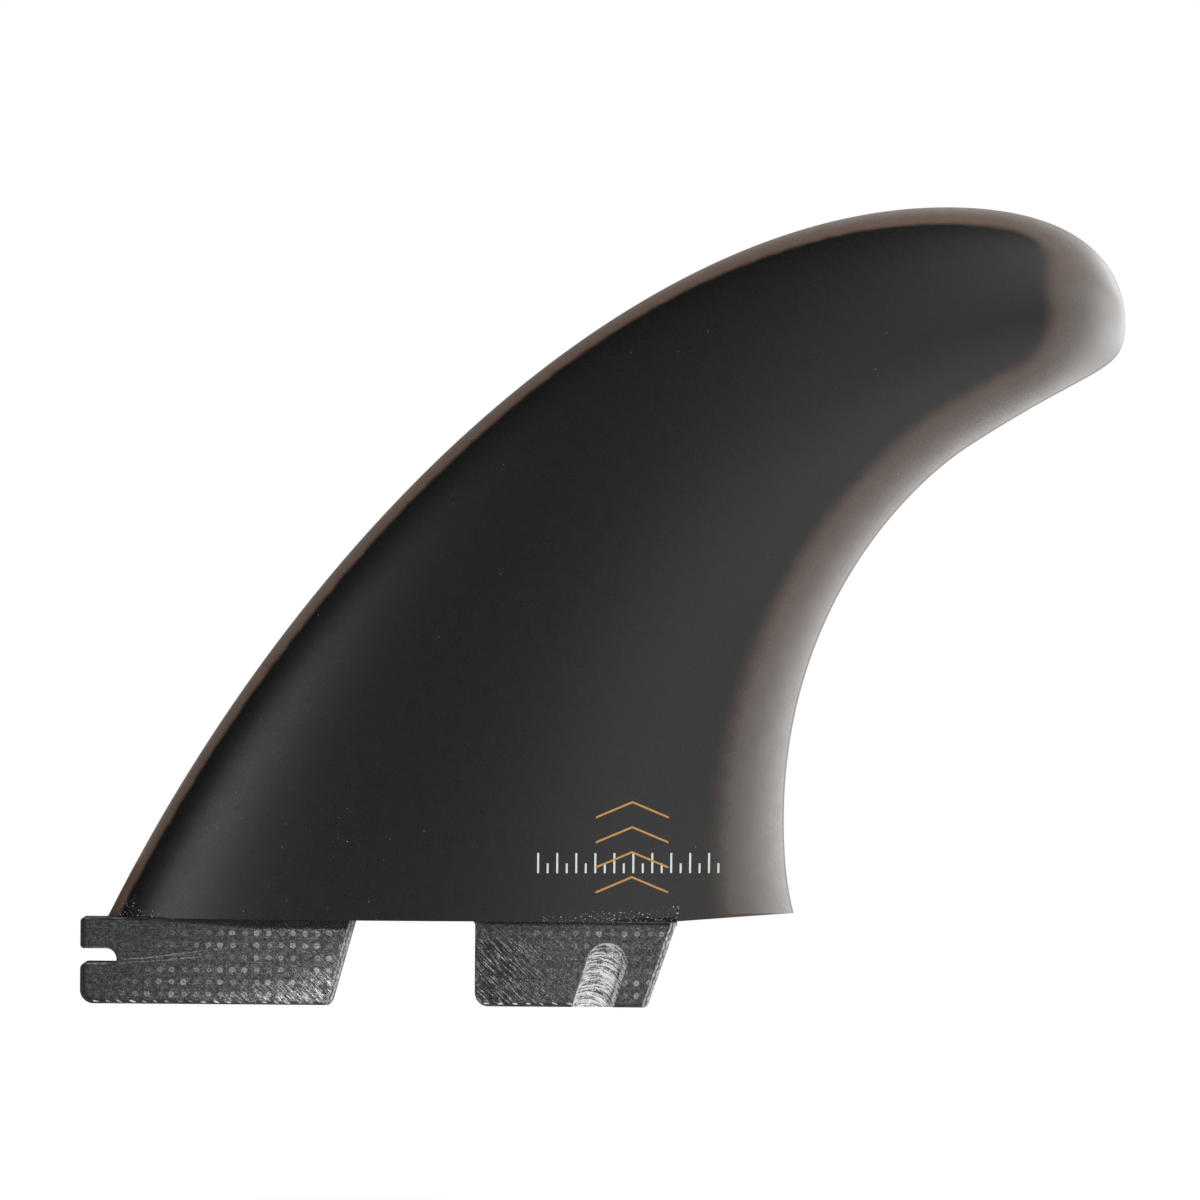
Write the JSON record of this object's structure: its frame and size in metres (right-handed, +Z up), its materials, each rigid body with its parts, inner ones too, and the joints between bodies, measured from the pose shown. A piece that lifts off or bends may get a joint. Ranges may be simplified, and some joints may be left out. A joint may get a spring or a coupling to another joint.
{
  "type": "surfboard fin",
  "caption": "Raked side fin with a foiled outer face, a flat inner face and plug-in tabs with a hook notch and a latch groove.",
  "frame": {"origin": "on the hull plane, midway along the gap between the tabs and midway through their thickness", "axes": "+X along the base from the leading edge to the trailing edge, +Z up out of the hull toward the top of the blade, +Y through the fin from its foiled outer face to its flat inner face"},
  "size_m": [0.1668, 0.009, 0.1287],
  "materials": {
    "laminate": "glass cloth and resin: satin black field, smoky see-through rim, raw sanded cloth on the tabs"
  },
  "bodies": {
    "root": {"fin": "laminate"}
  },
  "joints": []
}
